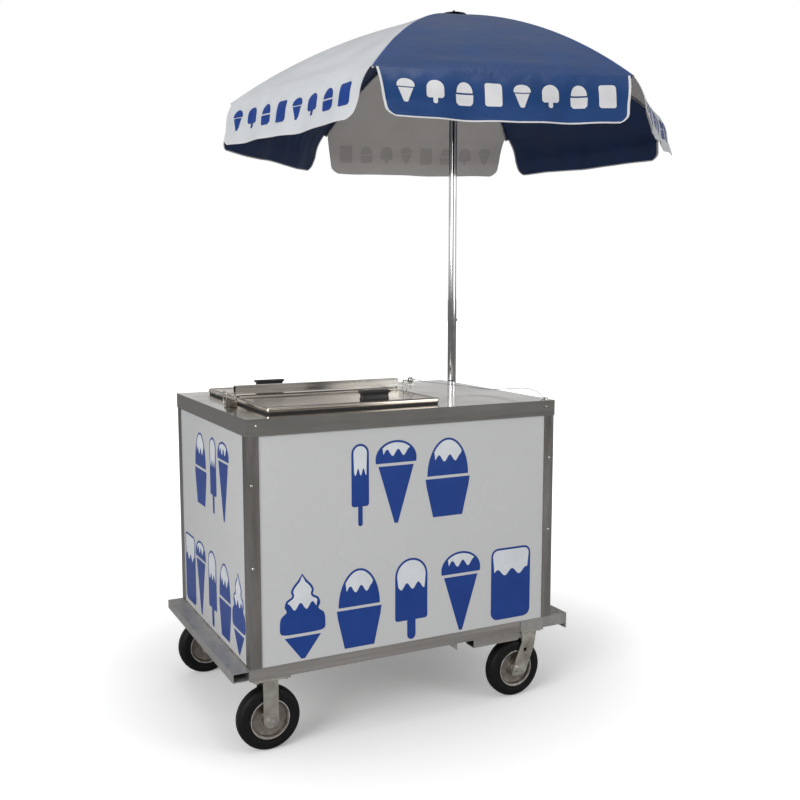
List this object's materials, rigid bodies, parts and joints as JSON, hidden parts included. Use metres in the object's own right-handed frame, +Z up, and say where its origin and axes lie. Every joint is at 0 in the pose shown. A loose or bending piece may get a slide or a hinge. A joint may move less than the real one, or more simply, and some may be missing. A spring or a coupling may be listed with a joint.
{
  "type": "push vending cart",
  "caption": "Push vending cart: insulated cold box on a tube frame with rigid and swivel casters, flip lids under a lock bar, and a folding umbrella on a corner pole.",
  "frame": {"origin": "on the floor, under the middle of the cold box", "axes": "+X along the long front towards the swivel casters and the umbrella, +Y to the back, +Z up"},
  "size_m": [2.0784, 1.8074, 2.512],
  "materials": {
    "black_grip": "moulded",
    "black_moulding": "moulded",
    "black_seal": "soft seal",
    "bright_hardware": "bright",
    "canopy_vinyl": "coated cloth, blue and white gores",
    "cold_plate_metal": "matt sheet over a eutectic fill",
    "foam": "rigid foam",
    "hub_metal": "machined",
    "lid_steel": "polished",
    "liner_white": "pale sheet",
    "pole_chrome": "chromed tube",
    "rib_steel": "plated",
    "stainless_frame": "satin welded tube",
    "stainless_sheet": "brushed sheet",
    "tread": "solid rubber",
    "white_panel": "smooth semi-gloss white",
    "wire": "thin wire rope",
    "zinc_bumper": "worn grey, mottled",
    "zinc_fork": "zinc plated"
  },
  "bodies": {
    "cart": {"base_frame": "stainless_frame", "bumper_left": "zinc_bumper", "bumper_right": "zinc_bumper", "caster_channels": "stainless_frame", "floor_pan": "stainless_sheet", "corner_posts": "stainless_sheet", "panel_front": "white_panel", "panel_back": "white_panel", "panel_left": "white_panel", "panel_right": "white_panel", "insulation": "foam", "liner": "liner_white", "cold_plates": "cold_plate_metal", "deck": "stainless_sheet", "fasteners": "bright_hardware", "hinge_strip": "lid_steel", "lock_bar": "stainless_sheet", "bar_staples": "bright_hardware", "lock_pin": "bright_hardware", "lanyard": "wire", "umbrella_holder": "stainless_frame", "rigid_forks": "zinc_fork", "rigid_axles": "bright_hardware", "swivel_plates": "zinc_fork"},
    "front_lid": {"lid_front": "lid_steel", "handle_front": "black_grip", "gasket_front": "black_seal"},
    "rear_lid": {"lid_rear": "lid_steel", "handle_rear": "black_grip", "gasket_rear": "black_seal"},
    "padlock": {"padlock": "bright_hardware"},
    "front_caster": {"swivel_fork_front": "zinc_fork", "swivel_axle_front": "bright_hardware"},
    "rear_caster": {"swivel_fork_rear": "zinc_fork", "swivel_axle_rear": "bright_hardware"},
    "wheel_rigid_front": {"tyre_rigid_front": "tread", "hub_rigid_front": "hub_metal"},
    "wheel_rigid_rear": {"tyre_rigid_rear": "tread", "hub_rigid_rear": "hub_metal"},
    "wheel_swivel_front": {"tyre_swivel_front": "tread", "hub_swivel_front": "hub_metal"},
    "wheel_swivel_rear": {"tyre_swivel_rear": "tread", "hub_swivel_rear": "hub_metal"},
    "mast": {"pole_lower": "pole_chrome"},
    "umbrella_head": {"pole_upper": "pole_chrome", "crown": "black_moulding", "canopy": "canopy_vinyl"},
    "runner": {"runner": "black_moulding"},
    "rib_1": {"rib_1": "rib_steel"},
    "rib_2": {"rib_2": "rib_steel"},
    "rib_3": {"rib_3": "rib_steel"},
    "rib_4": {"rib_4": "rib_steel"},
    "rib_5": {"rib_5": "rib_steel"},
    "rib_6": {"rib_6": "rib_steel"},
    "stretcher_1": {"stretcher_1": "rib_steel"},
    "stretcher_2": {"stretcher_2": "rib_steel"},
    "stretcher_3": {"stretcher_3": "rib_steel"},
    "stretcher_4": {"stretcher_4": "rib_steel"},
    "stretcher_5": {"stretcher_5": "rib_steel"},
    "stretcher_6": {"stretcher_6": "rib_steel"}
  },
  "joints": [
    {"name": "front_lid_hinge", "type": "hinge", "parent": "cart", "child": "front_lid", "pos_m": [-0.156, -0.016, 1.066], "axis": [-1, 0, 0], "range_deg": [0, 90]},
    {"name": "rear_lid_hinge", "type": "hinge", "parent": "cart", "child": "rear_lid", "pos_m": [-0.156, 0.016, 1.066], "axis": [1, 0, 0], "range_deg": [0, 90]},
    {"name": "padlock_swing", "type": "hinge", "parent": "cart", "child": "padlock", "pos_m": [-0.492, -0.015, 1.0553], "axis": [0, 0, 1], "range_deg": [-80, 10]},
    {"name": "front_caster_swivel", "type": "hinge", "parent": "cart", "child": "front_caster", "pos_m": [0.472, -0.347, 0.23], "axis": [0, 0, 1], "continuous": true},
    {"name": "rear_caster_swivel", "type": "hinge", "parent": "cart", "child": "rear_caster", "pos_m": [0.472, 0.347, 0.23], "axis": [0, 0, 1], "continuous": true},
    {"name": "rigid_front_spin", "type": "hinge", "parent": "cart", "child": "wheel_rigid_front", "pos_m": [-0.48, -0.347, 0.1016], "axis": [0, 1, 0], "continuous": true},
    {"name": "swivel_front_spin", "type": "hinge", "parent": "front_caster", "child": "wheel_swivel_front", "pos_m": [0.424, -0.347, 0.1016], "axis": [0, 1, 0], "continuous": true},
    {"name": "rigid_rear_spin", "type": "hinge", "parent": "cart", "child": "wheel_rigid_rear", "pos_m": [-0.48, 0.347, 0.1016], "axis": [0, 1, 0], "continuous": true},
    {"name": "swivel_rear_spin", "type": "hinge", "parent": "rear_caster", "child": "wheel_swivel_rear", "pos_m": [0.424, 0.347, 0.1016], "axis": [0, 1, 0], "continuous": true},
    {"name": "mast_turn", "type": "hinge", "parent": "cart", "child": "mast", "pos_m": [0.582, 0.365, 0.2843], "axis": [0, 0, 1], "continuous": true},
    {"name": "mast_height", "type": "slide", "parent": "mast", "child": "umbrella_head", "axis": [0, 0, 1], "range_m": [-0.15, 0]},
    {"name": "umbrella_fold", "type": "hinge", "parent": "umbrella_head", "child": "rib_1", "pos_m": [0.5586, 0.34318, 2.484], "axis": [0.682, -0.7314, 0], "range_deg": [0, 52], "deforming": ["canopy"]},
    {"name": "rib_2_fold", "type": "hinge", "parent": "umbrella_head", "child": "rib_2", "pos_m": [0.5892, 0.33382, 2.484], "axis": [0.9744, 0.225, 0], "range_deg": [-1, 53]},
    {"name": "rib_3_fold", "type": "hinge", "parent": "umbrella_head", "child": "rib_3", "pos_m": [0.6126, 0.35564, 2.484], "axis": [0.2924, 0.9563, 0], "range_deg": [-1, 53]},
    {"name": "rib_4_fold", "type": "hinge", "parent": "umbrella_head", "child": "rib_4", "pos_m": [0.6054, 0.38682, 2.484], "axis": [-0.682, 0.7314, 0], "range_deg": [-1, 53]},
    {"name": "rib_5_fold", "type": "hinge", "parent": "umbrella_head", "child": "rib_5", "pos_m": [0.5748, 0.39618, 2.484], "axis": [-0.9744, -0.225, 0], "range_deg": [-1, 53]},
    {"name": "rib_6_fold", "type": "hinge", "parent": "umbrella_head", "child": "rib_6", "pos_m": [0.5514, 0.37436, 2.484], "axis": [-0.2924, -0.9563, 0], "range_deg": [-1, 53]},
    {"name": "runner_slide", "type": "slide", "parent": "umbrella_head", "child": "runner", "axis": [0, 0, 1], "range_m": [-0.536, 0.002]},
    {"name": "stretcher_1_fold", "type": "hinge", "parent": "rib_1", "child": "stretcher_1", "pos_m": [0.25295, 0.05815, 2.34785], "axis": [0.682, -0.7314, 0], "range_deg": [-101, 1]},
    {"name": "stretcher_2_fold", "type": "hinge", "parent": "rib_2", "child": "stretcher_2", "pos_m": [0.68321, -0.07339, 2.34785], "axis": [0.9744, 0.225, 0], "range_deg": [-101, 1]},
    {"name": "stretcher_3_fold", "type": "hinge", "parent": "rib_3", "child": "stretcher_3", "pos_m": [1.01226, 0.23346, 2.34785], "axis": [0.2924, 0.9563, 0], "range_deg": [-101, 1]},
    {"name": "stretcher_4_fold", "type": "hinge", "parent": "rib_4", "child": "stretcher_4", "pos_m": [0.91105, 0.67185, 2.34785], "axis": [-0.682, 0.7314, 0], "range_deg": [-101, 1]},
    {"name": "stretcher_5_fold", "type": "hinge", "parent": "rib_5", "child": "stretcher_5", "pos_m": [0.48079, 0.80339, 2.34785], "axis": [-0.9744, -0.225, 0], "range_deg": [-101, 1]},
    {"name": "stretcher_6_fold", "type": "hinge", "parent": "rib_6", "child": "stretcher_6", "pos_m": [0.15174, 0.49654, 2.34785], "axis": [-0.2924, -0.9563, 0], "range_deg": [-101, 1]}
  ],
  "couplings": [
    {"joint": "rib_2_fold", "follows": "umbrella_fold", "ratio": 1},
    {"joint": "rib_3_fold", "follows": "umbrella_fold", "ratio": 1},
    {"joint": "rib_4_fold", "follows": "umbrella_fold", "ratio": 1},
    {"joint": "rib_5_fold", "follows": "umbrella_fold", "ratio": 1},
    {"joint": "rib_6_fold", "follows": "umbrella_fold", "ratio": 1},
    {"joint": "runner_slide", "follows": "umbrella_fold", "m_per_rad": -0.5852},
    {"joint": "stretcher_1_fold", "follows": "umbrella_fold", "ratio": -1.9102},
    {"joint": "stretcher_2_fold", "follows": "umbrella_fold", "ratio": -1.9102},
    {"joint": "stretcher_3_fold", "follows": "umbrella_fold", "ratio": -1.9102},
    {"joint": "stretcher_4_fold", "follows": "umbrella_fold", "ratio": -1.9102},
    {"joint": "stretcher_5_fold", "follows": "umbrella_fold", "ratio": -1.9102},
    {"joint": "stretcher_6_fold", "follows": "umbrella_fold", "ratio": -1.9102}
  ]
}
